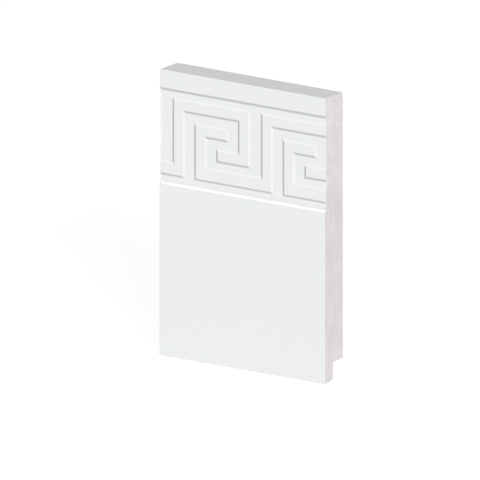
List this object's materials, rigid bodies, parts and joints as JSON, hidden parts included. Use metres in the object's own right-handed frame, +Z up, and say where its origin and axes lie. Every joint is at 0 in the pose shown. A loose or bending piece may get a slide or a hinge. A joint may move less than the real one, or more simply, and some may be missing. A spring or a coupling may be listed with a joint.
{
  "type": "skirting board",
  "caption": "Short length of white skirting board with a raised Greek key band between two long steps, a plain lower face and a rebate along the bottom of the back.",
  "frame": {"origin": "middle of the bounding box's bottom face, on the floor line", "axes": "+Z up the board's height, +Y into the wall behind it, +X along the wall to the right as seen from the room"},
  "size_m": [0.1024, 0.016, 0.15],
  "materials": {
    "white_coating": "satin"
  },
  "bodies": {
    "root": {"skirting_board": "white_coating"}
  },
  "joints": []
}
